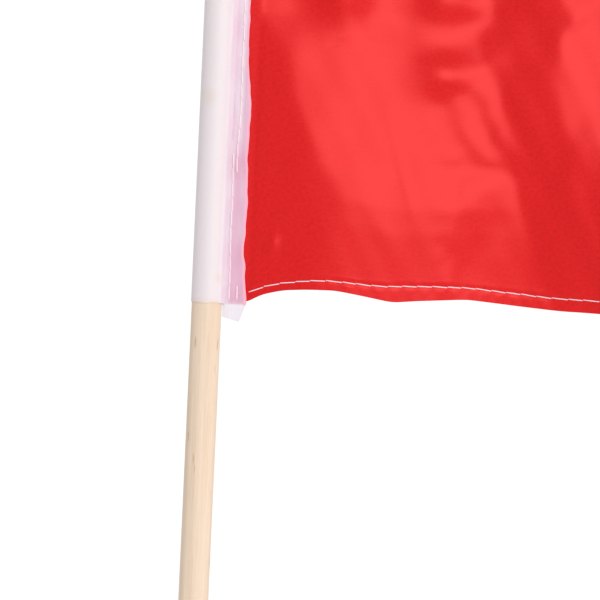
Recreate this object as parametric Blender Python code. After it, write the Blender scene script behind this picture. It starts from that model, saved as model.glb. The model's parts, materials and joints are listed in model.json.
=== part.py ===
"""A red hand signal flag: satin cloth sewn to a white sleeve that turns on a plain wooden pole.

The pole stands along +Z with its foot at the origin, and the flag flies towards +X with its front face
towards -Y. Cloth bends anywhere, so it is cut here into upright panels, each hinged to the one before it.
"""

import math

import bmesh
import bpy
from mathutils import Matrix, Vector

# Driving dimensions, in metres.
POLE_LENGTH = 0.600
POLE_RADIUS = 0.0040
POLE_END_ROUNDING = 0.0006

SLEEVE_FIT = 0.0003  # between the pole and the inside of the sleeve
SLEEVE_WALL = 0.0003
SLEEVE_CLOSURE = 0.0080  # height of the flat closed end above the pole
CLOSING_SHARE = 0.6  # how much of that height the sleeve takes to close
LEAVING_ANGLE = math.radians(30)  # where the sleeve's wall leaves the pole for the flange
FLANGE_REACH = 0.0052  # from the flange's root to its free edge
TAIL_INNER = 0.0037  # how far the flange hangs below the sleeve, beside the pole
TAIL_OUTER = 0.0048  # and at its free edge
TAIL_TAPER = 0.0016  # how far the tail's outer corner is cut back

FLAG_HOIST = 0.300
FLAG_FLY = 0.450
CLOTH_THICKNESS = 0.0003
HEM_WIDTH = 0.0042
HEM_FOLD = 0.00035  # what the turned-in layers add on the back
PANEL_COUNT = 5
PANEL_HEADINGS = (3.0, -5.0, -7.0, 4.0, 9.0)  # degrees from +X, seen from above
FOLD_OFFSET = 0.0010  # from the flange's free edge to the first hinge
BEND_GAP = 0.0008  # open between two panels, half on each side of their hinge

THREAD_RADIUS = 0.0002
THREAD_END = 0.0020  # how far a hem thread stops short of a hinge or an edge
HEM_THREAD_INSET = 0.0030  # from the flag's edge to its hem thread
UPPER_SEAM_OFFSET = 0.0018  # from the flange's root to the upper seam row
LOWER_SEAM_OFFSET = 0.0008
TACK_OFFSET = 0.0029
TACK_LENGTH = 0.0062
LOWER_SEAM_LENGTH = 0.0430
SEAM_OVERLAP = 0.0080  # height over which both seam rows run side by side
SEAM_END = 0.0010  # how far a seam row stops short of the cloth's edge
CLOSURE_THREAD_DROP = 0.0030  # from the sleeve's top to the closing row

GAP = 0.0003  # left between two pieces that lie on each other
ROUND_SEGMENTS = 48
THREAD_SEGMENTS = 8
WRAP_STEPS = 24  # from the sleeve's far side to the flange's root
CLOSING_STEPS = 5

# Places that follow from them.
BORE_RADIUS = POLE_RADIUS + SLEEVE_FIT
WALL_RADIUS = BORE_RADIUS + SLEEVE_WALL / 2
BORE_TOP = POLE_LENGTH + GAP
SLEEVE_TOP = BORE_TOP + SLEEVE_CLOSURE
SLEEVE_FOOT = SLEEVE_TOP - FLAG_HOIST
HALF_CLOTH = CLOTH_THICKNESS / 2
FLANGE_MIDDLE = HALF_CLOTH + GAP + SLEEVE_WALL / 2
FLANGE_OUTSIDE = FLANGE_MIDDLE + SLEEVE_WALL / 2
STRAIGHT_LENGTH = (WALL_RADIUS * math.sin(LEAVING_ANGLE) - FLANGE_MIDDLE) / math.cos(LEAVING_ANGLE)
ROOT_X = WALL_RADIUS * math.cos(LEAVING_ANGLE) + STRAIGHT_LENGTH * math.sin(LEAVING_ANGLE)
ROUND_LENGTH = WALL_RADIUS * (math.pi - LEAVING_ANGLE)
WRAP_LENGTH = ROUND_LENGTH + STRAIGHT_LENGTH
FLANGE_EDGE = ROOT_X + FLANGE_REACH
FOLD_X = FLANGE_EDGE + FOLD_OFFSET
PANEL_LENGTH = (FLAG_FLY - FOLD_X + ROOT_X) / PANEL_COUNT
THREAD_LIFT = GAP + THREAD_RADIUS  # from a face to the middle of a thread on it

FRONT, BACK = -1, 1
UP = Vector((0, 0, 1))


def clear_scene():
    for obj in list(bpy.data.objects):
        bpy.data.objects.remove(obj, do_unlink=True)


def principled(name, colour, roughness, metallic=0.0):
    material = bpy.data.materials.new(name)
    material.use_nodes = True
    shader = material.node_tree.nodes["Principled BSDF"]
    shader.inputs["Base Color"].default_value = (*colour, 1.0)
    shader.inputs["Roughness"].default_value = roughness
    shader.inputs["Metallic"].default_value = metallic
    return material


def add_object(name, mesh, material, parent=None):
    """Makes the bmesh an object of its own, smooth where it is round."""
    bmesh.ops.recalc_face_normals(mesh, faces=mesh.faces)
    data = bpy.data.meshes.new(name)
    mesh.to_mesh(data)
    mesh.free()
    data.materials.append(material)
    data.shade_smooth()
    data.set_sharp_from_angle(angle=math.radians(35))
    obj = bpy.data.objects.new(name, data)
    bpy.context.collection.objects.link(obj)
    obj.parent = parent
    return obj


def add_axis(name, place, heading=0.0, parent=None):
    """An empty on a hinge's axis, which turns about its own Z."""
    axis = bpy.data.objects.new(name, None)
    axis.empty_display_size = 0.01
    bpy.context.collection.objects.link(axis)
    axis.parent = parent
    axis.location = place
    axis.rotation_euler = (0, 0, math.radians(heading))
    return axis


def add_box(mesh, low, high):
    size = Vector(high) - Vector(low)
    middle = (Vector(high) + Vector(low)) / 2
    matrix = Matrix.Translation(middle) @ Matrix.Diagonal((*size, 1))
    return bmesh.ops.create_cube(mesh, size=1.0, matrix=matrix)["verts"]


def add_rod(mesh, start, end, radius=THREAD_RADIUS, segments=THREAD_SEGMENTS):
    """A closed round rod between two points."""
    along = Vector(end) - Vector(start)
    turn = UP.rotation_difference(along).to_matrix().to_4x4()
    matrix = Matrix.Translation((Vector(start) + Vector(end)) / 2) @ turn
    bmesh.ops.create_cone(
        mesh, cap_ends=True, segments=segments, radius1=radius, radius2=radius,
        depth=along.length, matrix=matrix,
    )


def add_thread(name, start, end, material, parent):
    mesh = bmesh.new()
    add_rod(mesh, start, end)
    return add_object(name, mesh, material, parent)


def make_pole(material):
    mesh = bmesh.new()
    add_rod(mesh, (0, 0, 0), (0, 0, POLE_LENGTH), POLE_RADIUS, ROUND_SEGMENTS)
    rims = [edge for edge in mesh.edges if abs(edge.verts[0].co.z - edge.verts[1].co.z) < GAP]
    bmesh.ops.bevel(
        mesh, geom=rims, offset=POLE_END_ROUNDING, segments=2, profile=0.5,
        affect="EDGES", material=-1,
    )
    return add_object("pole", mesh, material)


def round_place(along):
    """The sleeve's wall in plan where it goes round the pole, from its far side towards the flange."""
    if along < ROUND_LENGTH:
        angle = math.pi - along / WALL_RADIUS
        return WALL_RADIUS * math.cos(angle), WALL_RADIUS * math.sin(angle)
    rest = along - ROUND_LENGTH
    x = WALL_RADIUS * math.cos(LEAVING_ANGLE) + rest * math.sin(LEAVING_ANGLE)
    return x, WALL_RADIUS * math.sin(LEAVING_ANGLE) - rest * math.cos(LEAVING_ANGLE)


def flat_place(along):
    """The same length of wall pressed flat, with a tight turn at its far side."""
    turn = math.pi / 2 * FLANGE_MIDDLE
    centre = ROOT_X - (WRAP_LENGTH - turn)
    if along < turn:
        angle = along / FLANGE_MIDDLE
        return centre - FLANGE_MIDDLE * math.cos(angle), FLANGE_MIDDLE * math.sin(angle)
    return centre + along - turn, FLANGE_MIDDLE


def wall_row(flatness):
    """Places in plan along the whole strip, from the front layer's edge round to the back layer's."""
    half = [(FLANGE_EDGE, FLANGE_MIDDLE)]
    for step in range(WRAP_STEPS, -1, -1):
        along = WRAP_LENGTH * (step / WRAP_STEPS) ** 1.5  # closest together at the far side
        full, flat = Vector(round_place(along)), Vector(flat_place(along))
        half.append(tuple(full.lerp(flat, flatness)))
    return [(x, FRONT * y) for x, y in half] + [(x, BACK * y) for x, y in reversed(half[:-1])]


def make_sleeve(material, axis):
    """One strip of cloth folded round the pole, with its two edges left as the flange and its tail."""
    mesh = bmesh.new()
    rows = [(SLEEVE_FOOT, 0.0), (BORE_TOP, 0.0)]
    for step in range(1, CLOSING_STEPS + 1):
        share = step / CLOSING_STEPS
        flatness = share * share * (3 - 2 * share)
        rows.append((BORE_TOP + share * CLOSING_SHARE * SLEEVE_CLOSURE, flatness))
    rows.append((SLEEVE_TOP, 1.0))
    grid = [[mesh.verts.new((x, y, z)) for x, y in wall_row(flat)] for z, flat in rows]
    for low, high in zip(grid, grid[1:]):
        for column in range(len(low) - 1):
            mesh.faces.new((low[column], low[column + 1], high[column + 1], high[column]))
    add_tails(mesh, grid[0])
    sleeve = add_object("sleeve", mesh, material, axis)
    wall = sleeve.modifiers.new("cloth_thickness", "SOLIDIFY")
    wall.thickness = SLEEVE_WALL
    wall.offset = 0.0
    wall.use_even_offset = True
    return sleeve


def add_tails(mesh, foot):
    """The flange's two layers below the sleeve's foot."""
    for edge, root in ((foot[0], foot[1]), (foot[-1], foot[-2])):
        inner = mesh.verts.new((ROOT_X, root.co.y, SLEEVE_FOOT - TAIL_INNER))
        outer = mesh.verts.new((FLANGE_EDGE - TAIL_TAPER, edge.co.y, SLEEVE_FOOT - TAIL_OUTER))
        mesh.faces.new((inner, outer, edge, root))


def make_hoist_strip(material, axis):
    """The edge of the cloth that is sewn between the flange's layers."""
    mesh = bmesh.new()
    low = (ROOT_X, -HALF_CLOTH, SLEEVE_FOOT)
    high = (FOLD_X - BEND_GAP / 2, HALF_CLOTH, SLEEVE_TOP)
    add_box(mesh, low, high)
    return add_object("flag_hoist_strip", mesh, material, axis)


def make_panel(number, material, axis):
    """One panel of the flag, from its hinge outwards, with its hems thicker on the back."""
    mesh = bmesh.new()
    last = number == PANEL_COUNT
    start = BEND_GAP / 2
    end = PANEL_LENGTH - (0 if last else BEND_GAP / 2)
    add_box(mesh, (start, -HALF_CLOTH, SLEEVE_FOOT), (end, HALF_CLOTH, SLEEVE_TOP))
    cuts = [((0, 0, SLEEVE_FOOT + HEM_WIDTH), UP), ((0, 0, SLEEVE_TOP - HEM_WIDTH), UP)]
    if last:
        cuts.append(((end - HEM_WIDTH, 0, 0), Vector((1, 0, 0))))
    for place, normal in cuts:
        everything = mesh.verts[:] + mesh.edges[:] + mesh.faces[:]
        bmesh.ops.bisect_plane(mesh, geom=everything, plane_co=place, plane_no=normal)
    hems = [face for face in mesh.faces if on_hem(face, end, last)]
    grown = bmesh.ops.extrude_face_region(mesh, geom=hems)["geom"]
    moved = [part for part in grown if isinstance(part, bmesh.types.BMVert)]
    bmesh.ops.translate(mesh, verts=moved, vec=(0, HEM_FOLD, 0))
    bmesh.ops.delete(mesh, geom=hems, context="FACES_KEEP_BOUNDARY")
    return add_object(f"flag_panel_{number}", mesh, material, axis)


def on_hem(face, end, last):
    """True for a back face within a hem's width of the flag's bottom, top or fly edge."""
    middle = face.calc_center_median()
    if middle.y < HALF_CLOTH * 0.9:
        return False
    low = middle.z < SLEEVE_FOOT + HEM_WIDTH
    high = middle.z > SLEEVE_TOP - HEM_WIDTH
    return low or high or (last and middle.x > end - HEM_WIDTH)


def face_of(side, outside_back):
    """The middle of a thread on the front or the back of a panel or the flange."""
    return side * (outside_back + THREAD_LIFT)


def make_hem_threads(number, material, axis):
    """The threads along one panel's bottom and top edges, and down the fly on the last panel."""
    last = number == PANEL_COUNT
    end = PANEL_LENGTH - (HEM_THREAD_INSET + THREAD_LIFT if last else THREAD_END)
    low = SLEEVE_FOOT + HEM_THREAD_INSET
    high = SLEEVE_TOP - HEM_THREAD_INSET
    fly_x = PANEL_LENGTH - HEM_THREAD_INSET
    clear = THREAD_LIFT + THREAD_RADIUS
    for side, word in ((FRONT, "front"), (BACK, "back")):
        depth = face_of(side, HALF_CLOTH + (HEM_FOLD if side == BACK else 0))
        for edge, z in (("bottom", low), ("top", high)):
            name = f"{edge}_hem_thread_{word}_{number}"
            stop = end - THREAD_RADIUS if last else end
            add_thread(name, (THREAD_END, depth, z), (stop, depth, z), material, axis)
        if last:
            start, finish = (fly_x, depth, low - clear), (fly_x, depth, high + clear)
            add_thread(f"fly_hem_thread_{word}", start, finish, material, axis)


def make_seam_threads(material, axis):
    """The sleeve seam's two rows, the tack at its foot and the row that closes its top."""
    lower_top = SLEEVE_FOOT + LOWER_SEAM_LENGTH
    rows = (
        ("seam_thread_upper", UPPER_SEAM_OFFSET, lower_top - SEAM_OVERLAP, SLEEVE_TOP - SEAM_END),
        ("seam_thread_lower", LOWER_SEAM_OFFSET, SLEEVE_FOOT + SEAM_END, lower_top),
        ("foot_tack_thread", TACK_OFFSET, SLEEVE_FOOT + SEAM_END, SLEEVE_FOOT + TACK_LENGTH),
    )
    closing_z = SLEEVE_TOP - CLOSURE_THREAD_DROP
    left = ROOT_X - WRAP_LENGTH + 2 * THREAD_END
    right = ROOT_X - THREAD_END
    for side, word in ((FRONT, "front"), (BACK, "back")):
        depth = face_of(side, FLANGE_OUTSIDE)
        for name, offset, low, high in rows:
            x = ROOT_X + offset
            add_thread(f"{name}_{word}", (x, depth, low), (x, depth, high), material, axis)
        start, end = (left, depth, closing_z), (right, depth, closing_z)
        add_thread(f"top_closure_thread_{word}", start, end, material, axis)


def make_flag(cloth, thread, sleeve_axis):
    """The panels, each on the hinge at the end of the one before it."""
    parent, place, turned = sleeve_axis, (FOLD_X, 0, 0), 0.0
    for number, heading in enumerate(PANEL_HEADINGS, start=1):
        axis = add_axis(f"panel_{number}_axis", place, heading - turned, parent)
        make_panel(number, cloth, axis)
        make_hem_threads(number, thread, axis)
        parent, place, turned = axis, (PANEL_LENGTH, 0, 0), heading


def main():
    clear_scene()
    wood = principled("pale_wood", (0.86, 0.70, 0.52), 0.55)
    sleeve_cloth = principled("white_polyester", (0.86, 0.80, 0.82), 0.65)
    flag_cloth = principled("red_satin", (0.78, 0.03, 0.03), 0.42)
    thread = principled("polyester_thread", (0.92, 0.86, 0.87), 0.5)
    make_pole(wood)
    sleeve_axis = add_axis("sleeve_axis", (0, 0, 0))
    make_sleeve(sleeve_cloth, sleeve_axis)
    make_hoist_strip(flag_cloth, sleeve_axis)
    make_seam_threads(thread, sleeve_axis)
    make_flag(flag_cloth, thread, sleeve_axis)


main()
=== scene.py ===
"""Looks of a red hand signal flag: satin cloth sewn to a white sleeve on a pale wooden pole."""

import json
import math

import bmesh
import bpy
import numpy as np
from mathutils import Matrix, Vector


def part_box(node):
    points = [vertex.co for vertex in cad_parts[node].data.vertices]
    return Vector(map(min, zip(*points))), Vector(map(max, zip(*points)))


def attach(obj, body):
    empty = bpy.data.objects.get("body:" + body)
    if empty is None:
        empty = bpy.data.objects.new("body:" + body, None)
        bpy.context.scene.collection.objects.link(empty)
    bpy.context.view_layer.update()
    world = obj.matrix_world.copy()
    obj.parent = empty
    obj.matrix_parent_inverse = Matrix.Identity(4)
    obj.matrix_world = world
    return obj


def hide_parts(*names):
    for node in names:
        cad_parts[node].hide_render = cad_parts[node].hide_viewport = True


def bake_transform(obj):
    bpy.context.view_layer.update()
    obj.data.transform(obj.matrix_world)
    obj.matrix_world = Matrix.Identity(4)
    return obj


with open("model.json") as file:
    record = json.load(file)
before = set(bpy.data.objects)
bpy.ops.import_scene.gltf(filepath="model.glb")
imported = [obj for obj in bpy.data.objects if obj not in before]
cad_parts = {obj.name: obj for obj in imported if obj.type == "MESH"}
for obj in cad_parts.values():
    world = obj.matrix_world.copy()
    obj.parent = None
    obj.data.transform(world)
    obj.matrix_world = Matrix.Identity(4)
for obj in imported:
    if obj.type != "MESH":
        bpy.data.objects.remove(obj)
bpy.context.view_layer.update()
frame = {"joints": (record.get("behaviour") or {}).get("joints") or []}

MM = 0.001

# Sizes of the real pieces, in metres.
SATIN_THICKNESS = 0.16 * MM
HEM_THICKNESS = 0.55 * MM  # three layers
HEM_DEPTH = 4.3 * MM
HEM_START = 1.2 * MM  # past the flange's edge, so that the folded hem stays out of the sleeve
FLY_ROW = 3.0 * MM  # from the fly edge to its row of stitches
HEM_ROW_START = 1.0 * MM  # from the flange's edge to the first stitch of the hem
SLEEVE_THICKNESS = 0.16 * MM
SLEEVE_LIFT = 0.13 * MM  # from the pole to the middle of the sleeve's wall
LEAVING_ANGLE = math.radians(36)  # where the wall leaves the pole for the flange
FLANGE_LIFT = 0.30 * MM  # from the middle of the flag to the middle of a flange layer
TAIL_INNER = 3.6 * MM
TAIL_OUTER = 4.8 * MM
TAIL_SWING = 0.72 * MM  # how far the tail's inner edge stands back towards the pole
TAIL_STEP = 0.15 * MM  # over this height, just below the sleeve
THREAD_RADIUS = 0.14 * MM
SEAM_THREAD_RADIUS = 0.21 * MM
SEAM_PITCH = 3.9 * MM
HEM_PITCH = 4.1 * MM
STITCH_SLANT = 0.10 * MM  # how far a hem stitch's ends stand off the row

# Places read from the frame.
hinge_points = [Vector(j["pos_m"]) for j in frame["joints"] if j["name"] != "sleeve_turn"]
panel_names = [j["child"] for j in frame["joints"] if j["name"] != "sleeve_turn"]
pole_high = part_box("pole")[1]
POLE_RADIUS = pole_high.x
POLE_TOP = pole_high.z
panel_low, panel_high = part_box("flag_panel_1")
FOOT, TOP = panel_low.z, panel_high.z
HOIST = TOP - FOOT
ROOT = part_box("flag_hoist_strip")[0].x
FLANGE_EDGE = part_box("sleeve")[1].x
fly_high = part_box("flag_panel_5")[1]
UPPER_SEAM = sum(v.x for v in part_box("seam_thread_upper_front")) / 2
LOWER_SEAM = sum(v.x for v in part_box("seam_thread_lower_front")) / 2
TACK_SEAM = sum(v.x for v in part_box("foot_tack_thread_front")) / 2
UPPER_SEAM_SPAN = [v.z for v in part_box("seam_thread_upper_front")]
LOWER_SEAM_SPAN = [v.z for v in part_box("seam_thread_lower_front")]
TACK_SPAN = [v.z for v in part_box("foot_tack_thread_front")]
CLOSING_ROW_Z = sum(v.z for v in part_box("top_closure_thread_front")) / 2


# ---------------------------------------------------------------- camera, lights and stage

VIEW_WIDTH = 160 * MM
VIEW_CENTRE = Vector((24.8 * MM, 0, FOOT + 1.8 * MM))
LENS, SENSOR = 100.0, 36.0
POLE_LEAN = math.radians(2.6)
WORLD_LIGHT = 0.68  # the white room's strength as a light
WORLD_SEEN = 1.05  # and where it is seen straight past the object


def make_camera():
    """A level camera in front of the sleeve's foot, rolled so that the pole leans a little."""
    data = bpy.data.cameras.new("camera")
    data.lens, data.sensor_width = LENS, SENSOR
    distance = VIEW_WIDTH / 2 / (SENSOR / 2 / LENS)
    data.clip_start, data.clip_end = 0.01, 20
    camera = bpy.data.objects.new("camera", data)
    bpy.context.scene.collection.objects.link(camera)
    camera.location = VIEW_CENTRE + Vector((0, -distance, 0))
    level = Matrix.Rotation(math.pi / 2, 4, "X")
    roll = Matrix.Rotation(POLE_LEAN, 4, "Z")
    camera.rotation_euler = (level @ roll).to_euler()
    bpy.context.scene.camera = camera


def area_light(name, place, target, size, power):
    """A round soft box at a place, turned to its target."""
    data = bpy.data.lights.new(name, "AREA")
    data.shape, data.size, data.energy = "DISK", size, power
    light = bpy.data.objects.new(name, data)
    light.location = place
    light.rotation_euler = (Vector(target) - Vector(place)).to_track_quat("-Z", "Y").to_euler()
    bpy.context.scene.collection.objects.link(light)


def make_lights():
    """One large soft box near the camera, whose reflection is the satin's gloss, and two weaker ones."""
    middle = (0.12, 0, FOOT + 0.08)
    area_light("key", (0.83, -1.66, FOOT + 0.62), middle, 1.2, 16)
    area_light("side", (1.9, -0.35, FOOT + 0.3), middle, 1.2, 5)
    area_light("behind", (-0.6, 1.6, FOOT + 0.9), middle, 1.4, 5)
    world = bpy.data.worlds.new("studio_white")
    bpy.context.scene.world = world
    world.use_nodes = True
    back = world.node_tree.nodes["Background"]
    back.inputs["Color"].default_value = (1, 1, 1, 1)
    path = add_node(world, "LightPath", {})
    level = add_node(
        world, "MapRange", {"To Min": WORLD_LIGHT, "To Max": WORLD_SEEN},
        {"Value": path.outputs["Is Camera Ray"]},
    )
    world.node_tree.links.new(level.outputs["Result"], back.inputs["Strength"])


# ---------------------------------------------------------------- materials


def linear(hex_colour):
    """An sRGB hex colour as linear RGBA."""
    parts = [int(hex_colour[i : i + 2], 16) / 255 for i in (1, 3, 5)]
    return (*[p / 12.92 if p <= 0.04045 else ((p + 0.055) / 1.055) ** 2.4 for p in parts], 1.0)


PER_MM = 1000  # pattern sizes are given per millimetre, and coordinates are in metres


def add_node(owner, kind, settings, links=None):
    """Adds a node, sets its settings, sockets and ramp stops, and links its sockets from outputs."""
    node = owner.node_tree.nodes.new("ShaderNode" + kind)
    for name, value in settings.items():
        if name == "stops":
            elements = node.color_ramp.elements
            for index, (position, colour) in enumerate(value):
                if index >= len(elements):
                    elements.new(position)
                elements[index].position = position
                elements[index].color = linear(colour)
        elif isinstance(name, int) or name in node.inputs:
            node.inputs[name].default_value = value
        else:
            setattr(node, name, value)
    for name, source in (links or {}).items():
        owner.node_tree.links.new(source, node.inputs[name])
    return node


def new_material(name, **sockets):
    """A material with a Principled shader whose sockets have these values."""
    material = bpy.data.materials.new(name)
    material.use_nodes = True
    shader = material.node_tree.nodes["Principled BSDF"]
    for socket, value in sockets.items():
        shader.inputs[socket.replace("_", " ")].default_value = value
    return material, shader


# A Mix node's sockets when it mixes colours, and its output.
FACTOR, FIRST, SECOND, MIXED = 0, 6, 7, 2


def satin_material():
    """Polyester satin: long floats give a soft broad gloss that runs across the threads."""
    material, shader = new_material(
        "red_polyester_satin", IOR=1.55, Anisotropic=0.2,
        Specular_IOR_Level=0.9, Specular_Tint=linear("#FF7675"),
    )
    links = material.node_tree.links
    coords = add_node(material, "TexCoord", {})
    along_threads = add_node(
        material, "Mapping", {"Scale": (0.35 * PER_MM, 2.2 * PER_MM, PER_MM)},
        {"Vector": coords.outputs["UV"]},
    )
    slubs = add_node(
        material, "TexNoise", {"Scale": 1.0, "Detail": 3.0, "Roughness": 0.6},
        {"Vector": along_threads.outputs["Vector"]},
    )
    even = add_node(
        material, "Mapping", {"Scale": (1.1 * PER_MM, 1.1 * PER_MM, PER_MM)},
        {"Vector": coords.outputs["UV"]},
    )
    grain = add_node(
        material, "TexNoise", {"Scale": 1.0, "Detail": 2.0}, {"Vector": even.outputs["Vector"]}
    )
    streaked = add_node(
        material, "ValToRGB", {"stops": ((0.3, "#CE1317"), (0.5, "#D41618"), (0.7, "#DA191B"))},
        {"Fac": slubs.outputs["Fac"]},
    )
    speckled = add_node(
        material, "ValToRGB", {"stops": ((0.3, "#C81115"), (0.7, "#E01C1E"))},
        {"Fac": grain.outputs["Fac"]},
    )
    red = add_node(
        material, "Mix", {"data_type": "RGBA", FACTOR: 0.5},
        {FIRST: streaked.outputs["Color"], SECOND: speckled.outputs["Color"]},
    )
    links.new(red.outputs[MIXED], shader.inputs["Base Color"])
    gloss = add_node(
        material, "MapRange", {"To Min": 0.28, "To Max": 0.38}, {"Value": grain.outputs["Fac"]}
    )
    links.new(gloss.outputs["Result"], shader.inputs["Roughness"])
    # Floats are about 0.1 mm apart; they are drawn 0.55 mm apart so that they show.
    stretched = add_node(
        material, "Mapping", {"Scale": (0.25 * PER_MM, PER_MM, PER_MM)},
        {"Vector": coords.outputs["UV"]},
    )
    floats = add_node(
        material, "TexWave", {"wave_type": "BANDS", "bands_direction": "Y", "Scale": 0.5, "Distortion": 0.6},
        {"Vector": stretched.outputs["Vector"]},
    )
    height = add_node(
        material, "Math", {"operation": "MULTIPLY_ADD", 1: 0.35},
        {0: floats.outputs["Fac"], 2: slubs.outputs["Fac"]},
    )
    bump = add_node(
        material, "Bump", {"Strength": 0.22, "Distance": 0.05 * MM}, {"Height": height.outputs["Value"]}
    )
    links.new(bump.outputs["Normal"], shader.inputs["Normal"])
    tangent = add_node(material, "Tangent", {"direction_type": "UV_MAP", "uv_map": "cloth"})
    links.new(tangent.outputs["Tangent"], shader.inputs["Tangent"])
    return material


def sleeve_material():
    """Thin white woven polyester: soft and a little see-through, so the red under it shows pink."""
    material, shader = new_material(
        "white_woven_polyester", Roughness=0.6, IOR=1.46, Sheen_Weight=0.2, Sheen_Roughness=0.5
    )
    links = material.node_tree.links
    coords = add_node(material, "TexCoord", {})
    tall = add_node(
        material, "Mapping", {"Scale": (0.5 * PER_MM, 0.5 * PER_MM, 0.09 * PER_MM)},
        {"Vector": coords.outputs["Object"]},
    )
    cloudy = add_node(
        material, "TexNoise", {"Scale": 1.0, "Detail": 3.0}, {"Vector": tall.outputs["Vector"]}
    )
    white = add_node(
        material, "ValToRGB", {"stops": ((0.3, "#E5DFE7"), (0.7, "#ECE7ED"))},
        {"Fac": cloudy.outputs["Fac"]},
    )
    pink = add_node(
        material, "ValToRGB", {"stops": ((0.3, "#D49EB7"), (0.7, "#DEACC3"))},
        {"Fac": cloudy.outputs["Fac"]},
    )
    # What lies under or in the cloth, and painted shade at every needle hole, each tinting what came before
    # it.
    under = white.outputs["Color"]
    for painted, tint in (("over_wood", "#E6DCDF"), ("wood_knot", "#DFCDB6"), ("over_red", None),
                          ("cut_edge", "#F9AEC0"), ("needle_hole_shade", "#D3ADBD")):
        amount = add_node(material, "Attribute", {"attribute_name": painted})
        colour = {SECOND: linear(tint)} if tint else {}
        source = {} if tint else {SECOND: pink.outputs["Color"]}
        layer = add_node(
            material, "Mix", {"data_type": "RGBA", **colour},
            {FACTOR: amount.outputs["Fac"], FIRST: under, **source},
        )
        under = layer.outputs[MIXED]
    links.new(under, shader.inputs["Base Color"])
    # Threads are about 0.12 mm apart; they are drawn 0.4 mm apart so that they show.
    even = add_node(
        material, "Mapping", {"Scale": (PER_MM, PER_MM, PER_MM)}, {"Vector": coords.outputs["Object"]}
    )
    warp = add_node(
        material, "TexWave", {"wave_type": "BANDS", "bands_direction": "Z", "Scale": 0.8, "Distortion": 0.5},
        {"Vector": even.outputs["Vector"]},
    )
    fine = add_node(
        material, "Mapping", {"Scale": (3 * PER_MM, 3 * PER_MM, 0.3 * PER_MM)},
        {"Vector": coords.outputs["Object"]},
    )
    fibres = add_node(
        material, "TexNoise", {"Scale": 1.0, "Detail": 2.0}, {"Vector": fine.outputs["Vector"]}
    )
    height = add_node(
        material, "Math", {"operation": "ADD"}, {0: warp.outputs["Fac"], 1: fibres.outputs["Fac"]}
    )
    bump = add_node(
        material, "Bump", {"Strength": 0.25, "Distance": 0.05 * MM}, {"Height": height.outputs["Value"]}
    )
    links.new(bump.outputs["Normal"], shader.inputs["Normal"])
    return material


def thread_material():
    """Spun polyester sewing thread: white, softly glossy, with a twist."""
    material, shader = new_material("spun_polyester_thread", Roughness=0.5, IOR=1.5, Sheen_Weight=0.3)
    links = material.node_tree.links
    coords = add_node(material, "TexCoord", {})
    fine = add_node(
        material, "Mapping", {"Scale": (5 * PER_MM, 5 * PER_MM, 5 * PER_MM)},
        {"Vector": coords.outputs["Object"]},
    )
    twist = add_node(
        material, "TexNoise", {"Scale": 1.0, "Detail": 2.0}, {"Vector": fine.outputs["Vector"]}
    )
    colour = add_node(
        material, "ValToRGB", {"stops": ((0.3, "#F4D5DE"), (0.7, "#FBE7ED"))},
        {"Fac": twist.outputs["Fac"]},
    )
    links.new(colour.outputs["Color"], shader.inputs["Base Color"])
    bump = add_node(
        material, "Bump", {"Strength": 0.3, "Distance": 0.05 * MM}, {"Height": twist.outputs["Fac"]}
    )
    links.new(bump.outputs["Normal"], shader.inputs["Normal"])
    return material


def wood_material():
    """Planed pale softwood dowel, bare: long fine grain along the pole and a few brown flecks."""
    material, shader = new_material("bare_pale_wood", Roughness=0.62, IOR=1.5)
    links = material.node_tree.links
    coords = add_node(material, "TexCoord", {})
    broad = add_node(
        material, "Mapping", {"Scale": (0.55 * PER_MM, 0.55 * PER_MM, 0.012 * PER_MM)},
        {"Vector": coords.outputs["Object"]},
    )
    bands = add_node(
        material, "TexNoise", {"Scale": 1.0, "Detail": 4.0, "Roughness": 0.55, "Distortion": 0.3},
        {"Vector": broad.outputs["Vector"]},
    )
    fine = add_node(
        material, "Mapping", {"Scale": (3.2 * PER_MM, 3.2 * PER_MM, 0.08 * PER_MM)},
        {"Vector": coords.outputs["Object"]},
    )
    fibres = add_node(
        material, "TexNoise", {"Scale": 1.0, "Detail": 5.0, "Roughness": 0.7},
        {"Vector": fine.outputs["Vector"]},
    )
    banded = add_node(
        material, "ValToRGB", {"stops": ((0.32, "#DDC3A8"), (0.5, "#E8D0B8"), (0.68, "#EEDBC9"))},
        {"Fac": bands.outputs["Fac"]},
    )
    streaked = add_node(
        material, "ValToRGB", {"stops": ((0.3, "#D8BEA1"), (0.55, "#EAD4BD"), (0.75, "#F0DFCE"))},
        {"Fac": fibres.outputs["Fac"]},
    )
    timber = add_node(
        material, "Mix", {"data_type": "RGBA", FACTOR: 0.45},
        {FIRST: banded.outputs["Color"], SECOND: streaked.outputs["Color"]},
    )
    sparse = add_node(
        material, "Mapping", {"Scale": (0.42 * PER_MM, 0.42 * PER_MM, 0.075 * PER_MM)},
        {"Vector": coords.outputs["Object"]},
    )
    spots = add_node(
        material, "TexVoronoi", {"Scale": 1.0, "Randomness": 1.0}, {"Vector": sparse.outputs["Vector"]}
    )
    fleck = add_node(
        material, "MapRange", {"From Min": 0.16, "From Max": 0.07, "To Min": 0.0, "To Max": 0.55},
        {"Value": spots.outputs["Distance"]},
    )
    flecked = add_node(
        material, "Mix", {"data_type": "RGBA", SECOND: linear("#B98E62")},
        {FACTOR: fleck.outputs["Result"], FIRST: timber.outputs[MIXED]},
    )
    links.new(flecked.outputs[MIXED], shader.inputs["Base Color"])
    bump = add_node(
        material, "Bump", {"Strength": 0.25, "Distance": 0.06 * MM}, {"Height": fibres.outputs["Fac"]}
    )
    links.new(bump.outputs["Normal"], shader.inputs["Normal"])
    return material


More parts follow.
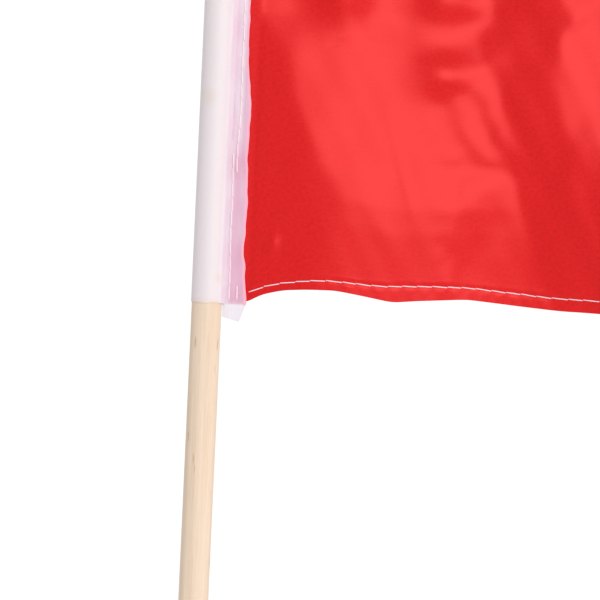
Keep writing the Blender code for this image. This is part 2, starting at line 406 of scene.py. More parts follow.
def floor_material():
    """Matt white studio board."""
    material, shader = new_material("matt_white_board", Roughness=0.9)
    coords = add_node(material, "TexCoord", {})
    mottle = add_node(
        material, "TexNoise", {"Scale": 30.0, "Detail": 3.0}, {"Vector": coords.outputs["Object"]}
    )
    colour = add_node(
        material, "ValToRGB", {"stops": ((0.3, "#F2F2F2"), (0.7, "#F5F5F5"))},
        {"Fac": mottle.outputs["Fac"]},
    )
    material.node_tree.links.new(colour.outputs["Color"], shader.inputs["Base Color"])
    return material


# ---------------------------------------------------------------- the flag's shape


def smooth(t):
    """0 before 0, 1 after 1, and an even curve between."""
    t = np.clip(t, 0.0, 1.0)
    return t * t * (3 - 2 * t)


def bump_at(value, centre, width):
    """A soft rounded hump of height 1."""
    return np.exp(-(((value - centre) / width) ** 2))


def plan_curve():
    """The flag's middle line seen from above: distance from the flange's root, x, y and heading."""
    starts = [Vector((ROOT, 0, 0))] + [Vector((p.x, p.y, 0)) for p in hinge_points]
    ends = starts[1:] + [Vector((fly_high.x, fly_high.y, 0))]
    runs = [(b - a).length for a, b in zip(starts, ends)]
    runs[-1] = runs[-2]
    turns = [math.atan2((b - a).y, (b - a).x) for a, b in zip(starts, ends)]
    hinges = np.cumsum(runs)[:-1]
    length = sum(runs)
    middles = [0.0] + [h + r / 2 for h, r in zip(hinges, runs[1:])]
    along = np.linspace(0, length, 2001)
    heading = np.zeros_like(along)
    for a, b, first, second in zip(middles, middles[1:], turns, turns[1:]):
        inside = (along >= a) & (along <= b)
        heading[inside] = first + (second - first) * smooth((along[inside] - a) / (b - a))
    heading[along > middles[-1]] = turns[-1]
    step = along[1] - along[0]
    x = ROOT + np.concatenate([[0], np.cumsum(np.cos(heading[:-1]) * step)])
    y = np.concatenate([[0], np.cumsum(np.sin(heading[:-1]) * step)])
    return along, x, y, heading, list(hinges), middles[1:], length


PLAN_S, PLAN_X, PLAN_Y, PLAN_H, HINGE_S, MIDDLE_S, LENGTH = plan_curve()
EDGE_S = FLANGE_EDGE - ROOT  # the flange's free edge, along the flag

# Height of the bottom edge above its straight line, near the hoist: (distance from the flange, rise).
BOTTOM_RISE = ((0, 0.3), (4.4, 2.8), (10.2, 4.2), (16.4, 4.6), (23.8, 4.7), (30.6, 3.7), (39.4, 2.2),
               (46, 2.9), (60, 4.0), (85, 2.0), (120, 0.8), (170, 1.6), (230, 0.3), (300, 1.0), (460, 0))
# Distance of the hem's stitches from that edge.
HEM_INSET = ((0, 2.3), (9, 1.9), (18, 2.5), (28, 2.7), (36, 3.6), (40, 4.2), (46, 4.0), (60, 3.2),
             (100, 3.4), (160, 3.0), (220, 3.5), (300, 3.1), (380, 3.4), (460, 3.1))


def drawn(points, value):
    """A soft line through listed (distance, value) points in millimetres, in metres."""
    places = np.array([p[0] for p in points], float) * MM
    values = np.array([p[1] for p in points], float) * MM
    fine = np.linspace(places[0], places[-1], 1200)
    raw = np.interp(fine, places, values)
    window = np.hanning(19)
    padded = np.pad(raw, 9, mode="edge")
    soft = np.convolve(padded, window / window.sum(), mode="valid")
    return np.interp(value, fine, soft)


# The crest of the first fold: (height, distance from the flange). It leans back to the flange.
CREST = ((0, 20.5), (8, 21), (18, 21.8), (25, 21.3), (31, 19.0), (35.5, 16.6), (42, 14.6), (46, 13.2),
         (52.5, 11.2), (59, 9.8), (65.5, 7.8), (70, 5.6), (74, 2.8), (80, -2.5),
         (95, -14), (120, -8), (150, 10), (180, 18), (215, 10), (250, -3), (300, -6))
LEFT_SLOPE = 0.150  # how fast the cloth comes forward before the crest
RIGHT_SLOPE = -0.105  # and falls back after it


# Rounded humps: (height, distance from the flange, its spread, height up the flag, its spread).
HUMPS = ((3.1, 23, 6.6, 82.5, 10), (2.4, 51, 8, 84, 9), (1.8, 51, 7, 62, 6))
# Short straight creases: (height, (distance from the flange, height up), angle in degrees, length, width).
CREASES = ((-0.08, (21.5, 68), 20, 5, 1.6), (0.16, (41, 34), 107, 26, 3.0),
           (0.62, (6.7, 13), 90, 5.4, 3.6), (0.11, (33, 21), 125, 16, 6))


def fold_wave(phase):
    """A wave with soft crests and straight flanks."""
    return np.arcsin(0.95 * np.sin(phase)) / math.asin(0.95)


def softened_ramp(t):
    """0 before 0 and t after it, with a soft corner."""
    return np.logaddexp(0, t)


def first_fold(a, b):
    """Forward places of the fold beside the flange, in millimetres."""
    crest = drawn(CREST, b * MM) / MM
    width = 1.1 + 2.3 * (1 - smooth((b - 20) / 26))
    fall = softened_ramp((a - crest) / width) - softened_ramp(-crest / width)
    left = LEFT_SLOPE * (1 - 0.45 * smooth((b - 62) / 20))
    return left * a + (RIGHT_SLOPE - left) * width * fall


def crease(a, b, centre, angle, length, width):
    """A short straight hump."""
    c, n = math.cos(math.radians(angle)), math.sin(math.radians(angle))
    u = (a - centre[0]) * c + (b - centre[1]) * n
    w = (b - centre[1]) * c - (a - centre[0]) * n
    return bump_at(u, 0, length / 2) * bump_at(w, 0, width / 2)


def folds(s, v):
    """How far the cloth stands forward of its middle line, in metres."""
    a = (s - EDGE_S) / MM
    b = v / MM
    d = first_fold(a, b) * (1 - smooth((a - 52) / 60))
    for height, across, spread_across, up, spread_up in HUMPS:
        d += height * bump_at(a, across, spread_across) * bump_at(b, up, spread_up)
    for height, centre, angle, length, width in CREASES:
        d += height * crease(a, b, centre, angle, length, width)
    # Broad slanting folds, where the flag is away from the sleeve's foot.
    beyond = 1 - (1 - smooth((a - 46) / 34)) * (1 - smooth((b - 88) / 34) * smooth((a + 4) / 30))
    d += beyond * 2.3 * fold_wave(2 * math.pi * (a / 104 + b / 330) + 0.8 + 0.7 * np.sin(b / 47))
    d += beyond * 1.1 * fold_wave(2 * math.pi * (a / 58 - b / 210) + 2.7 + 0.6 * np.sin(b / 31 + a / 90))
    d += beyond * 0.45 * fold_wave(2 * math.pi * (a / 31 + b / 120) + 0.3 + 0.8 * np.sin(b / 23))
    # The cloth's slight unevenness everywhere.
    d += 0.05 * np.sin(2 * math.pi * (a / 17 - b / 39) + 1.9) * smooth(a / 12)
    d += 0.02 * np.sin(2 * math.pi * (a / 9.1 + b / 17) + 0.7) * smooth(a / 12)
    d *= smooth((a - 0.2) / 2.2)
    return d * MM


def hem_line(s):
    """Height above the straight bottom line of the hem's stitches."""
    return drawn(HEM_INSET, np.maximum(s - EDGE_S, 0))


def rise(s, v):
    """How far the cloth is pulled up near its bottom edge and down near its top."""
    low = drawn(BOTTOM_RISE, np.maximum(s - EDGE_S, 0)) * (1 - smooth(v / (0.5 * HOIST)))
    high = -0.8 * drawn(BOTTOM_RISE, np.maximum(LENGTH - s, 0)) * smooth((v / HOIST - 0.5) / 0.5)
    inside = smooth(s / EDGE_S)
    return (low + high) * inside


def puckers(s, v):
    """Shallow dents where the stitches pull the hems in, in metres."""
    d = np.zeros_like(s)
    phase = np.cos(2 * math.pi * s / HEM_PITCH)
    for depth in (v - hem_line(s), HOIST - v - hem_line(LENGTH - s)):
        d -= (0.10 + 0.05 * phase) * bump_at(depth, 0, 0.7 * MM) * MM
        d += 0.03 * phase * bump_at(depth, -1.6 * MM, 1.2 * MM) * MM
        d += 0.03 * bump_at(depth, 1.1 * MM, 0.5 * MM) * MM
    fly = LENGTH - s - FLY_ROW
    fly_phase = np.cos(2 * math.pi * v / HEM_PITCH)
    d -= (0.10 + 0.05 * fly_phase) * bump_at(fly, 0, 0.7 * MM) * MM
    return d * smooth((s - EDGE_S) / (2 * MM))


def place(s, v):
    """The middle of the cloth in space, for arrays of distance along it and height up it."""
    x = np.interp(s, PLAN_S, PLAN_X)
    y = np.interp(s, PLAN_S, PLAN_Y)
    turn = np.interp(s, PLAN_S, PLAN_H)
    out = folds(s, v) + puckers(s, v) + SATIN_THICKNESS / 2
    points = np.stack([x + np.sin(turn) * out, y - np.cos(turn) * out, FOOT + v + rise(s, v)], -1)
    return points if settled is None else points + settled_move(s, v)


def surface(s, v):
    """The front surface's places and outward normals at arrays of s and v."""
    step = 0.2 * MM
    here = place(s, v)
    across = place(s + step, v) - place(s - step, v)
    up = place(s, v + step) - place(s, v - step)
    normal = np.cross(across, up)
    return here, normal / np.linalg.norm(normal, axis=-1, keepdims=True)


# The cloth's own settling, filled in by settle_cloth: moves on a square net over the flag.
CUT_EASE = 0.004  # how much larger the cloth is cut than the room it has
SETTLE_FRAMES = 24
MOST_SETTLING = 7.0 * MM
NET = 3.0 * MM
SETTLES_FROM, SETTLES_OVER = 1 * MM, 9 * MM  # past the flange's edge, where the settling fades in
settled = None


def spline_weights(t):
    """Weights of the four net lines round a place that is t of the way between the middle two."""
    return ((1 - t) ** 3 / 6, (3 * t**3 - 6 * t**2 + 4) / 6,
            (-3 * t**3 + 3 * t**2 + 3 * t + 1) / 6, t**3 / 6)


def settled_move(s, v):
    """The settling at arrays of distance along the cloth and height up it."""
    count_s, count_v = settled.shape[:2]
    i = np.clip(s / LENGTH, 0, 1) * (count_s - 1)
    j = np.clip(v / HOIST, 0, 1) * (count_v - 1)
    low_i, low_j = np.floor(i).astype(int), np.floor(j).astype(int)
    total = 0
    for step_i, weight_i in zip((-1, 0, 1, 2), spline_weights(i - low_i)):
        row = np.clip(low_i + step_i, 0, count_s - 1)
        for step_j, weight_j in zip((-1, 0, 1, 2), spline_weights(j - low_j)):
            column = np.clip(low_j + step_j, 0, count_v - 1)
            total = total + (weight_i * weight_j)[..., None] * settled[row, column]
    return total * smooth((s - EDGE_S - SETTLES_FROM) / SETTLES_OVER)[..., None]


# ---------------------------------------------------------------- mesh helpers


def link(name, mesh, material):
    """A new object at the origin that shows this mesh in this material."""
    obj = bpy.data.objects.new(name, mesh)
    mesh.materials.append(material)
    bpy.context.scene.collection.objects.link(obj)
    return obj


def flat_grid(low, high, step, cuts_x=(), cuts_y=()):
    """A flat grid of quads with extra lines at the given places."""
    mesh = bmesh.new()
    wide, tall = high[0] - low[0], high[1] - low[1]
    matrix = Matrix.Translation(((low[0] + high[0]) / 2, (low[1] + high[1]) / 2, 0))
    matrix @= Matrix.Diagonal((wide, tall, 1, 1))
    bmesh.ops.create_grid(
        mesh, x_segments=max(1, round(wide / step[0])), y_segments=max(1, round(tall / step[1])),
        size=0.5, matrix=matrix,
    )
    for axis, cuts in ((0, cuts_x), (1, cuts_y)):
        for cut in cuts:
            place_at, normal = [0, 0, 0], [0, 0, 0]
            place_at[axis], normal[axis] = cut, 1
            everything = mesh.verts[:] + mesh.edges[:] + mesh.faces[:]
            bmesh.ops.bisect_plane(
                mesh, geom=everything, plane_co=place_at, plane_no=normal, dist=1e-6
            )
    return mesh


def points_of(mesh):
    """The mesh's points as an array of one row each."""
    co = np.zeros(len(mesh.vertices) * 3)
    mesh.vertices.foreach_get("co", co)
    return co.reshape(-1, 3)


def add_uv(mesh, name, per_point):
    """A UV map that gives each corner its point's pair of numbers."""
    layer = mesh.uv_layers.new(name=name)
    corners = np.zeros(len(mesh.loops), np.int32)
    mesh.loops.foreach_get("vertex_index", corners)
    layer.data.foreach_set("uv", per_point[corners].ravel())


def add_values(mesh, name, values):
    """A number at each point, for a material to read."""
    layer = mesh.attributes.new(name, "FLOAT", "POINT")
    layer.data.foreach_set("value", np.asarray(values, np.float32))


def thickened(obj, thickness, offset, group=None, least=1.0):
    """The object's sheet with a wall of its own, as a finished mesh."""
    wall = obj.modifiers.new("thickness", "SOLIDIFY")
    wall.thickness, wall.offset = thickness, offset
    wall.use_even_offset = False
    if group:
        wall.vertex_group = group
        wall.thickness_vertex_group = least
    graph = bpy.context.evaluated_depsgraph_get()
    mesh = bpy.data.meshes.new_from_object(obj.evaluated_get(graph), depsgraph=graph)
    obj.modifiers.clear()
    old, obj.data = obj.data, mesh
    name = old.name
    bpy.data.meshes.remove(old)
    mesh.name = name
    return mesh


# ---------------------------------------------------------------- pieces


CLOTH_CELL = (1.0 * MM, 1.5 * MM)
HEM_STEP = 0.12 * MM  # half the width of the step where the turned-in layers end
HEM_START_STEP = 0.15 * MM  # and of the one where they begin, beside the flange
# Extra rows of points in and beside a hem, from the edge inwards.
EDGE_ROWS = [*(mm * MM for mm in (0.25, 0.8, 1.4, 2.0, 2.6, 3.2, 3.8)),
             HEM_DEPTH - HEM_STEP, HEM_DEPTH + HEM_STEP, 5.2 * MM, 6.2 * MM]


def make_cloth_piece(number, start, end, material):
    """One stretch of the flag, closed all round, shaded as part of the whole cloth."""
    cuts_y = EDGE_ROWS + [HOIST - row for row in EDGE_ROWS]
    cuts_x = [LENGTH - row for row in EDGE_ROWS if LENGTH - row > start] if end == LENGTH else []
    if number == 1:
        hem_start = EDGE_S + HEM_START
        cuts_x = [EDGE_S, hem_start - HEM_START_STEP, hem_start + HEM_START_STEP]
    sheet = flat_grid((start, 0), (end, HOIST), CLOTH_CELL, cuts_x, cuts_y)
    mesh = bpy.data.meshes.new(f"flag_cloth_{number}")
    sheet.to_mesh(mesh)
    sheet.free()
    flat = points_of(mesh)
    s, v = flat[:, 0], flat[:, 1]
    here, normal = surface(s, v)
    mesh.vertices.foreach_set("co", here.astype(np.float32).ravel())
    add_uv(mesh, "cloth", np.stack([s, v], -1))
    layer = mesh.attributes.new("whole_normal", "FLOAT_VECTOR", "POINT")
    layer.data.foreach_set("vector", normal.astype(np.float32).ravel())
    obj = link(f"flag_cloth_{number}", mesh, material)
    hem = obj.vertex_groups.new(name="hem")
    edge = np.minimum(np.minimum(v, HOIST - v), LENGTH - s)
    in_hem = (edge < HEM_DEPTH) & (s > EDGE_S + HEM_START)
    hem.add([int(i) for i in np.nonzero(in_hem)[0]], 1.0, "REPLACE")
    if mesh.polygons[0].normal.dot(Vector(normal[0])) < 0:
        mesh.flip_normals()
    count = len(mesh.vertices)
    mesh = thickened(obj, HEM_THICKNESS, -1.0, "hem", SATIN_THICKNESS / HEM_THICKNESS)
    stored = np.zeros(len(mesh.vertices) * 3, np.float32)
    mesh.attributes["whole_normal"].data.foreach_get("vector", stored)
    stored = stored.reshape(-1, 3)
    stored[count:] *= -1
    mesh.shade_smooth()
    mesh.normals_split_custom_set_from_vertices(stored)
    mesh.attributes.remove(mesh.attributes["whole_normal"])
    obj.vertex_groups.clear()
    return obj


def settle_cloth():
    """Simulates the flag's cloth, cut a little larger than the room it has, until it finds its folds.

    The cloth beside the sleeve's foot and the fly edge are held, and the rest buckles freely.
    """
    global settled
    counts = (round(LENGTH / NET) + 1, round(HOIST / NET) + 1)
    sheet = flat_grid((0, 0), (LENGTH, HOIST), (LENGTH / (counts[0] - 1), HOIST / (counts[1] - 1)))
    mesh = bpy.data.meshes.new("cloth_net")
    sheet.to_mesh(mesh)
    sheet.free()
    flat = points_of(mesh)
    s, v = flat[:, 0], flat[:, 1]
    start = place(s, v)
    mesh.vertices.foreach_set("co", start.astype(np.float32).ravel())
    net = bpy.data.objects.new("cloth_net", mesh)
    bpy.context.scene.collection.objects.link(net)
    a, b = (s - EDGE_S) / MM, v / MM
    held = (1 - smooth((a - 46) / 10)) * (1 - smooth((b - 84) / 10))
    held = np.maximum(held, (a < 2) | (s > LENGTH - 2 * MM))
    group = net.vertex_groups.new(name="held")
    for index in np.nonzero(held > 0.01)[0]:
        group.add([int(index)], float(held[index]), "REPLACE")
    cloth = net.modifiers.new("cloth", "CLOTH")
    settings = cloth.settings
    settings.quality = 6
    settings.mass = 0.0005
    settings.air_damping = 1
    settings.tension_stiffness = settings.compression_stiffness = 40
    settings.shear_stiffness = 12
    settings.bending_stiffness = 0.1
    settings.vertex_group_mass = "held"
    settings.pin_stiffness = 3
    settings.shrink_min = -CUT_EASE
    settings.effector_weights.gravity = 0
    cloth.point_cache.frame_start, cloth.point_cache.frame_end = 1, SETTLE_FRAMES
    scene = bpy.context.scene
    for frame_number in range(1, SETTLE_FRAMES + 1):
        scene.frame_set(frame_number)
    graph = bpy.context.evaluated_depsgraph_get()
    done = points_of(net.evaluated_get(graph).data)
    move = done - start
    size = np.linalg.norm(move, axis=1, keepdims=True)
    move = move * np.minimum(1, MOST_SETTLING / np.maximum(size, 1e-9))
    order = np.lexsort((np.round(v / NET * 4), np.round(s / NET * 4)))
    settled = move[order].reshape(*counts, 3)
    bpy.data.objects.remove(net)
    bpy.data.meshes.remove(mesh)
    scene.frame_set(1)


def bend_with_cloth(obj):
    """Bakes the placement of a piece of the flag, or of a row sewn to it, into its mesh."""
    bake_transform(obj)


def make_flag(satin):
    """The flag in five stretches that meet at its panels' middles, and where each begins and ends."""
    starts = [0.0] + MIDDLE_S[:-1]
    ends = MIDDLE_S[:-1] + [LENGTH]
    for number, (start, end) in enumerate(zip(starts, ends), start=1):
        piece = make_cloth_piece(number, start, end, satin)
        bend_with_cloth(piece)
        nodes = [f"flag_panel_{number}"] + (["flag_hoist_strip"] if number == 1 else [])
        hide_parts(*nodes)
    return starts, ends


def stitch_shape():
    """One stitch of unit length along X, which dives into the cloth at both ends."""
    mesh = bmesh.new()
    # Along the stitch, height over the cloth and thickness, both in thread radii.
    stations = ((-0.01, -1.1, 0.6), (0.04, 0.1, 0.9), (0.3, 0.6, 1.0), (0.7, 0.6, 1.0),
                (0.96, 0.1, 0.9), (1.01, -1.1, 0.6))
    turn = Matrix.Rotation(math.pi / 2, 4, "Y")
    rings = []
    for x, z, radius in stations:
        matrix = Matrix.Translation((x, 0, z)) @ turn @ Matrix.Diagonal((radius, radius, 1, 1))
        rings.append(bmesh.ops.create_circle(mesh, segments=6, radius=1.0, matrix=matrix)["verts"])
    edges = []
    for ring in rings:
        own = set(ring)
        edges.append([e for e in mesh.edges if e.verts[0] in own and e.verts[1] in own])
    for first, second in zip(edges, edges[1:]):
        bmesh.ops.bridge_loops(mesh, edges=first + second)
    for ring in (rings[0], rings[-1]):
        bmesh.ops.contextual_create(mesh, geom=ring)
    bmesh.ops.recalc_face_normals(mesh, faces=mesh.faces)
    data = bpy.data.meshes.new("stitch_shape")
    mesh.to_mesh(data)
    mesh.free()
    return data


STITCH = stitch_shape()


def make_stitches(name, starts, ends, normals, material, radius=THREAD_RADIUS):
    """A row of stitches between these places, each standing on the cloth along its normal."""
    mesh = bmesh.new()
    for a, b, n in zip(starts, ends, normals):
        a, b, n = Vector(a), Vector(b), Vector(n)
        along = b - a
        side = n.cross(along).normalized()
        lift = along.cross(side).normalized()
        matrix = Matrix((
            (along.x, side.x * radius, lift.x * radius, a.x),
            (along.y, side.y * radius, lift.y * radius, a.y),
            (along.z, side.z * radius, lift.z * radius, a.z),
            (0, 0, 0, 1),
        ))
        before = len(mesh.verts)
        mesh.from_mesh(STITCH)
        mesh.verts.ensure_lookup_table()
        bmesh.ops.transform(mesh, matrix=matrix, verts=mesh.verts[before:])
    data = bpy.data.meshes.new(name)
    mesh.to_mesh(data)
    mesh.free()
    data.shade_smooth()
    obj = link(name, data, material)
    return obj


def cloth_row(s, v, back):
    """Ends and normals of the stitches through these points of the flag."""
    depth = HEM_THICKNESS if back else 0.0
    here, normal = surface(s, v)
    here = here - normal * depth
    out = -normal if back else normal
    return here[:-1], here[1:], out[:-1] + out[1:]


def jitter(count, amount, seed):
    """Small seeded shifts, as hand feeding gives."""
    return np.random.default_rng(seed).uniform(-amount, amount, count)


def make_hem_stitches(starts, ends, thread):
    """The hem's needle row on the front and bobbin row on the back, along bottom, top and fly."""
    for edge in ("bottom", "top"):
        first, last = EDGE_S + HEM_ROW_START, LENGTH - FLY_ROW
        count = round((last - first) / HEM_PITCH)
        s = np.linspace(first, last, count + 1)
        s[1:-1] += jitter(count - 1, 0.25 * MM, 11)
        inset = hem_line(s) if edge == "bottom" else hem_line(LENGTH - s)
        v = inset if edge == "bottom" else HOIST - inset
        v[1:-1] += jitter(count - 1, 0.08 * MM, 12)
        middle = (s[:-1] + s[1:]) / 2
        for back, word in ((False, "front"), (True, "back")):
            low, high, out = cloth_row(s, v, back)
            slant = -STITCH_SLANT if back else STITCH_SLANT
            low, high = low + [0, 0, slant], high - [0, 0, slant]
            for number, (start, end) in enumerate(zip(starts, ends), start=1):
                mine = (middle >= start) & (middle < end)
                name = f"{edge}_hem_stitches_{word}_{number}"
                row = make_stitches(name, low[mine], high[mine], out[mine], thread)
                bend_with_cloth(row)
                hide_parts(f"{edge}_hem_thread_{word}_{number}")
    count = round((HOIST - 2 * FLY_ROW) / HEM_PITCH)
    v = np.linspace(FLY_ROW, HOIST - FLY_ROW, count + 1)
    s = np.full_like(v, LENGTH - FLY_ROW)
    s[1:-1] += jitter(count - 1, 0.1 * MM, 13)
    for back, word in ((False, "front"), (True, "back")):
        low, high, out = cloth_row(s, v, back)
        row = make_stitches(f"fly_hem_stitches_{word}", low, high, out, thread)
        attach(row, panel_names[-1])
        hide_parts(f"fly_hem_thread_{word}")


# ---------------------------------------------------------------- the sleeve

WALL_RADIUS = POLE_RADIUS + SLEEVE_LIFT
STRAIGHT = (WALL_RADIUS * math.sin(LEAVING_ANGLE) - FLANGE_LIFT) / math.cos(LEAVING_ANGLE)
ROOT_X = WALL_RADIUS * math.cos(LEAVING_ANGLE) + STRAIGHT * math.sin(LEAVING_ANGLE)
ARC = WALL_RADIUS * (math.pi - LEAVING_ANGLE)
WRAP = ARC + STRAIGHT
REACH = FLANGE_EDGE - ROOT_X

# The flange's free edge, cut by hand: (height, distance from the pole's axis).
FLANGE_LINE = ((0, 10.5), (3, 10.3), (6, 9.95), (11, 9.75), (13.5, 9.15), (20, 9.5), (27, 9.7), (34, 9.4),
               (40, 9.15), (47, 9.4), (54, 9.5), (60, 8.7), (67, 8.15), (80, 8.1), (95, 8.6),
               (112, 9.5), (130, 9.2), (150, 9.7), (172, 9.1), (200, 9.4), (225, 8.9), (250, 9.6),
               (275, 9.3), (300, 9.7))


def flange_edge(z):
    """How far the flange's free edge is from the pole's axis."""
    b = z - FOOT
    return drawn(FLANGE_LINE, b) + (0.07 * np.sin(b / (1.3 * MM)) + 0.05 * np.sin(b / (0.7 * MM))) * MM


def seam_x(base, z):
    """Where a sewn row that wanders a little round its line is at this height."""
    b = (z - FOOT) / MM
    return base + (0.16 * np.sin(b / 9.0 + 1.0) + 0.1 * np.sin(b / 3.7)) * MM


def wrap_place(along, flat):
    """The wall's middle line in plan, from its far side towards the flange: round, or pressed flat."""
    angle = math.pi - along / WALL_RADIUS
    rest = np.maximum(along - ARC, 0)
    on_arc = along < ARC
    x = np.where(on_arc, WALL_RADIUS * np.cos(angle),
                 WALL_RADIUS * math.cos(LEAVING_ANGLE) + rest * math.sin(LEAVING_ANGLE))
    y = np.where(on_arc, WALL_RADIUS * np.sin(angle),
                 WALL_RADIUS * math.sin(LEAVING_ANGLE) - rest * math.cos(LEAVING_ANGLE))
    turn = math.pi / 2 * FLANGE_LIFT
    centre = ROOT_X - (WRAP - turn)
    bend = np.minimum(along, turn) / FLANGE_LIFT
    flat_x = np.where(along < turn, centre - FLANGE_LIFT * np.cos(bend), centre + along - turn)
    flat_y = np.where(along < turn, FLANGE_LIFT * np.sin(bend), FLANGE_LIFT)
    return x + (flat_x - x) * flat, y + (flat_y - y) * flat


PRESSED_FROM, PRESSED_OVER = 0.2 * MM, 5.0 * MM  # past the pole's top, where the sleeve goes flat
TAIL_LEAN = 1.7 * MM  # how far the tail's outer corner stands back
GROOVE_WIDTH = 0.5 * MM  # of the groove that a sewn row pulls


def sleeve_place(q, z):
    """The sleeve strip's middle at a signed distance from its far side and a height."""
    along = np.abs(q)
    side = np.sign(q)
    closing = smooth((z - POLE_TOP - PRESSED_FROM) / PRESSED_OVER)
    wx, wy = wrap_place(np.minimum(along, WRAP), closing)
    share = np.clip((along - WRAP) / REACH, 0, 1)
    on_flange = along > WRAP
    below = np.clip((FOOT - z) / TAIL_OUTER, 0, 1)
    edge = flange_edge(np.maximum(z, FOOT - 0.5 * MM)) - TAIL_LEAN * below
    inner = ROOT_X - TAIL_SWING * smooth((FOOT - z) / TAIL_STEP)
    x = np.where(on_flange, inner + share * (edge - inner), wx)
    b = (z - FOOT) / MM
    wave = (0.10 * np.sin(b / 4.3 + side) + 0.08 * np.sin(b / 9.7 + 2 + side)) * share * MM
    wave = np.maximum(wave, 0)
    y = np.where(on_flange, FLANGE_LIFT + wave, wy)
    upper = (z > UPPER_SEAM_SPAN[0]) * bump_at(x, seam_x(UPPER_SEAM, z), GROOVE_WIDTH)
    lower = (z < LOWER_SEAM_SPAN[1]) * bump_at(x, seam_x(LOWER_SEAM, z), GROOVE_WIDTH)
    tack = (z < TACK_SPAN[1]) * bump_at(x, seam_x(TACK_SEAM, z), GROOVE_WIDTH)
    groove = np.clip(upper + lower + tack, 0, 1) * (z > FOOT)
    phase = np.cos(2 * math.pi * z / SEAM_PITCH)
    y = y - np.where(on_flange, groove * (0.05 + 0.03 * phase) * MM, 0)
    ripple = 0.05 * np.sin(b / 2.1) * bump_at(along, WRAP, 0.8 * MM) * MM
    y = y + ripple * (1 - closing)
    slope = TAIL_INNER / TAIL_OUTER + (1 - TAIL_INNER / TAIL_OUTER) * share
    low = np.where(z < FOOT, FOOT - (FOOT - z) * slope, z)
    foot_wave = 0.12 * np.sin(x / MM * 1.1 + side) * np.exp(-np.maximum(z - FOOT, 0) / (3 * MM)) * MM
    return np.stack([x, side * y, low + np.where(on_flange, 0, foot_wave)], -1)


SLEEVE_CELL = (0.42 * MM, 1.1 * MM)
RAW_EDGE = 0.45 * MM  # width of the frayed edge


def make_sleeve(material):
    """The sleeve: one strip folded round the pole, its two raw edges lying on the flag's two faces."""
    span = WRAP + REACH
    strip = flat_grid(
        (-span, FOOT - TAIL_OUTER), (span, TOP), SLEEVE_CELL,
        cuts_x=(-WRAP, WRAP, -span + RAW_EDGE, span - RAW_EDGE), cuts_y=(FOOT - TAIL_STEP, FOOT),
    )
    below = [f for f in strip.faces
             if f.calc_center_median().y < FOOT and abs(f.calc_center_median().x) < WRAP]
    bmesh.ops.delete(strip, geom=below, context="FACES")
    mesh = bpy.data.meshes.new("pole_sleeve")
    strip.to_mesh(mesh)
    strip.free()
    flat = points_of(mesh)
    q, z = flat[:, 0], flat[:, 1]
    here = sleeve_place(q, z)
    mesh.vertices.foreach_set("co", here.astype(np.float32).ravel())
    paint_sleeve(mesh, q, z, here)
    obj = link("pole_sleeve", mesh, material)
    mesh.update()
    middle = min(range(len(mesh.polygons)), key=lambda i: mesh.polygons[i].center.x)
    if mesh.polygons[middle].normal.x > 0:
        mesh.flip_normals()
    mesh = thickened(obj, SLEEVE_THICKNESS, 0.0)
    mesh.shade_smooth()
    mesh.set_sharp_from_angle(angle=math.radians(50))
    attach(obj, "sleeve")
    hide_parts("sleeve")


# Knots and stains of the wood that show through the sleeve: (height, across, size), in millimetres.
KNOTS = ((54.5, -1.6, 1.6), (6.8, 2.9, 1.0), (131, 0.6, 1.3), (204, -2.2, 1.2))


def paint_sleeve(mesh, q, z, here):
    """Where the red cloth, the wood and its knots show through, the cut edge, and painted shade at each
    needle hole.
    """
    along = np.abs(q)
    x = here[:, 0]
    b = (z - FOOT) / MM
    cover = smooth((x - 3.3 * MM) / (0.8 * MM)) * smooth((z - FOOT + 0.4 * MM) / (0.6 * MM))
    cover = cover * (along > ARC * 0.6)
    low = smooth((50 - b) / 16)
    near_foot = 0.36 + 0.52 * smooth((x - 5.5 * MM) / (0.6 * MM))
    higher = 0.36 + 0.18 * bump_at(x, 5.1 * MM, 0.6 * MM) + 0.42 * smooth((x - 7.1 * MM) / (0.7 * MM))
    strength = low * near_foot + (1 - low) * higher
    strength += 0.06 * np.sin(b / 5.0) + 0.04 * np.sin(b / 1.9 + 1.0)
    add_values(mesh, "over_red", np.clip(cover * strength, 0, 1))
    add_values(mesh, "over_wood", (along < ARC).astype(float) * smooth((ARC - along) / (0.8 * MM)))
    cut = (along > WRAP + REACH - 0.5 * MM) & (z > FOOT - 0.3 * MM)
    add_values(mesh, "cut_edge", cut.astype(float))
    knot = np.zeros_like(q)
    for height, across, size in KNOTS:
        near = bump_at(b, height, size * 1.1) * bump_at(x / MM, across, size) * (here[:, 1] < 0)
        knot = knot + near
    # The cut foot of the sleeve shows a line of wood too.
    knot = knot * 0.45 + 0.4 * (along < ARC) * (1 - smooth((b - 0.4) / 0.8))
    add_values(mesh, "wood_knot", np.clip(knot, 0, 1))
    # Painted shade: each needle hole at a seam's stitch ends is darkened.
    hole_shade = np.zeros_like(q)
    for base, (low, high) in ((UPPER_SEAM, UPPER_SEAM_SPAN), (LOWER_SEAM, LOWER_SEAM_SPAN),
                              (TACK_SEAM, TACK_SPAN)):
        phase = np.abs((z - low) / SEAM_PITCH - np.round((z - low) / SEAM_PITCH)) * SEAM_PITCH
        near = bump_at(x, seam_x(base, z), 0.22 * MM) * np.exp(-((phase / (0.3 * MM)) ** 2))
        hole_shade = hole_shade + near * (z > low - 0.5 * MM) * (z < high + 0.5 * MM)
    add_values(mesh, "needle_hole_shade", np.clip(hole_shade, 0, 1) * (along > WRAP))


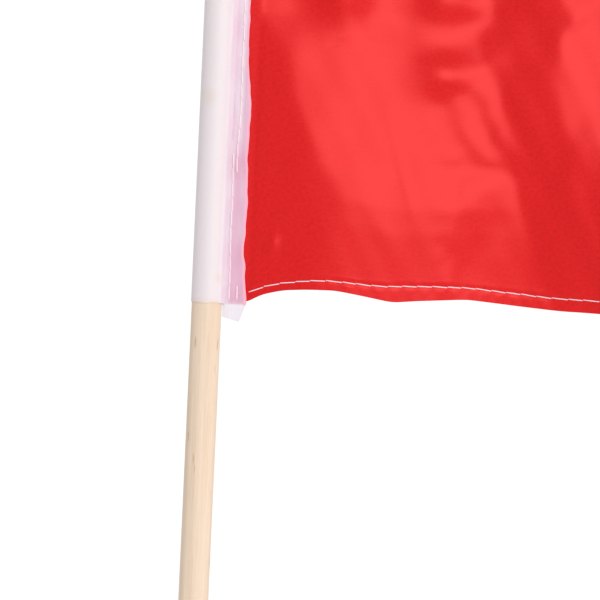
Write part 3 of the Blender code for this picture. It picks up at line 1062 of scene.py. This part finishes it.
def make_seam_stitches(thread):
    """The sleeve's own rows, front and back: two seam runs, the tack at its foot and its closed top."""
    rows = (
        ("seam", "upper", UPPER_SEAM, UPPER_SEAM_SPAN),
        ("seam", "lower", LOWER_SEAM, LOWER_SEAM_SPAN),
        ("foot_tack", "", TACK_SEAM, TACK_SPAN),
    )
    for side, word in ((-1, "front"), (1, "back")):
        for kind, part, base, (low, high) in rows:
            count = max(2, round((high - low) / SEAM_PITCH))
            z = low + SEAM_PITCH * np.arange(count + 1)
            z = z[z < high + 0.6 * MM]
            x = seam_x(base, z)
            share = (x - ROOT_X) / (flange_edge(z) - ROOT_X)
            here = sleeve_place(side * (WRAP + share * REACH), z)
            here[:, 1] += side * SLEEVE_THICKNESS / 2
            out = np.tile([0.0, side, 0.0], (len(z) - 1, 1))
            lean = np.array([0.06 * MM, 0, 0])
            name = "_".join(p for p in (kind, "stitches", part, word) if p)
            row = make_stitches(name, here[:-1] + lean, here[1:] - lean, out, thread, SEAM_THREAD_RADIUS)
            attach(row, "sleeve")
            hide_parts("_".join(p for p in (kind, "thread", part, word) if p))
        left, right = [v.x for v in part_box(f"top_closure_thread_{word}")]
        x = np.linspace(left, right, 4)
        here = np.stack([x, np.full(4, side * (FLANGE_LIFT + SLEEVE_THICKNESS / 2)),
                         np.full(4, CLOSING_ROW_Z)], -1)
        out = np.tile([0.0, side, 0.0], (3, 1))
        row = make_stitches(f"top_closure_stitches_{word}", here[:-1], here[1:], out, thread)
        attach(row, "sleeve")
        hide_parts(f"top_closure_thread_{word}")


# ---------------------------------------------------------------- the pole and the floor


def make_pole(material):
    """A turned dowel, lightly rounded at its sawn ends."""
    mesh = bmesh.new()
    profile = ((0, 0), (POLE_RADIUS - 0.5 * MM, 0), (POLE_RADIUS - 0.12 * MM, 0.15 * MM),
               (POLE_RADIUS, 0.6 * MM))
    outline = [mesh.verts.new((x, 0, z)) for x, z in profile]
    outline += [mesh.verts.new((POLE_RADIUS, 0, POLE_TOP * k / 60)) for k in range(1, 60)]
    outline += [mesh.verts.new((x, 0, POLE_TOP - z)) for x, z in reversed(profile)]
    edges = [mesh.edges.new(pair) for pair in zip(outline, outline[1:])]
    bmesh.ops.spin(
        mesh, geom=outline + edges, axis=(0, 0, 1), cent=(0, 0, 0), steps=64,
        angle=2 * math.pi, use_merge=True,
    )
    bmesh.ops.remove_doubles(mesh, verts=mesh.verts, dist=0.001 * MM)
    bmesh.ops.recalc_face_normals(mesh, faces=mesh.faces)
    data = bpy.data.meshes.new("pole_dowel")
    mesh.to_mesh(data)
    mesh.free()
    data.shade_smooth()
    data.set_sharp_from_angle(angle=math.radians(50))
    obj = link("pole_dowel", data, material)
    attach(obj, "pole")
    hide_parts("pole")


FLOOR_RADIUS = 1.12  # small enough to stay out of the camera's view


def make_floor(material):
    """A thin pale disc just under the pole's foot."""
    mesh = bmesh.new()
    bmesh.ops.create_circle(
        mesh, cap_ends=True, segments=128, radius=FLOOR_RADIUS,
        matrix=Matrix.Translation((0.16, 0, -0.5 * MM)),
    )
    data = bpy.data.meshes.new("floor")
    mesh.to_mesh(data)
    mesh.free()
    floor = link("floor", data, material)


bpy.context.scene.view_settings.view_transform = "Standard"
make_camera()
make_lights()
make_floor(floor_material())
thread = thread_material()
settle_cloth()
make_pole(wood_material())
make_sleeve(sleeve_material())
piece_starts, piece_ends = make_flag(satin_material())
make_hem_stitches(piece_starts, piece_ends, thread)
make_seam_stitches(thread)
bpy.data.meshes.remove(STITCH)

bpy.context.view_layer.update()
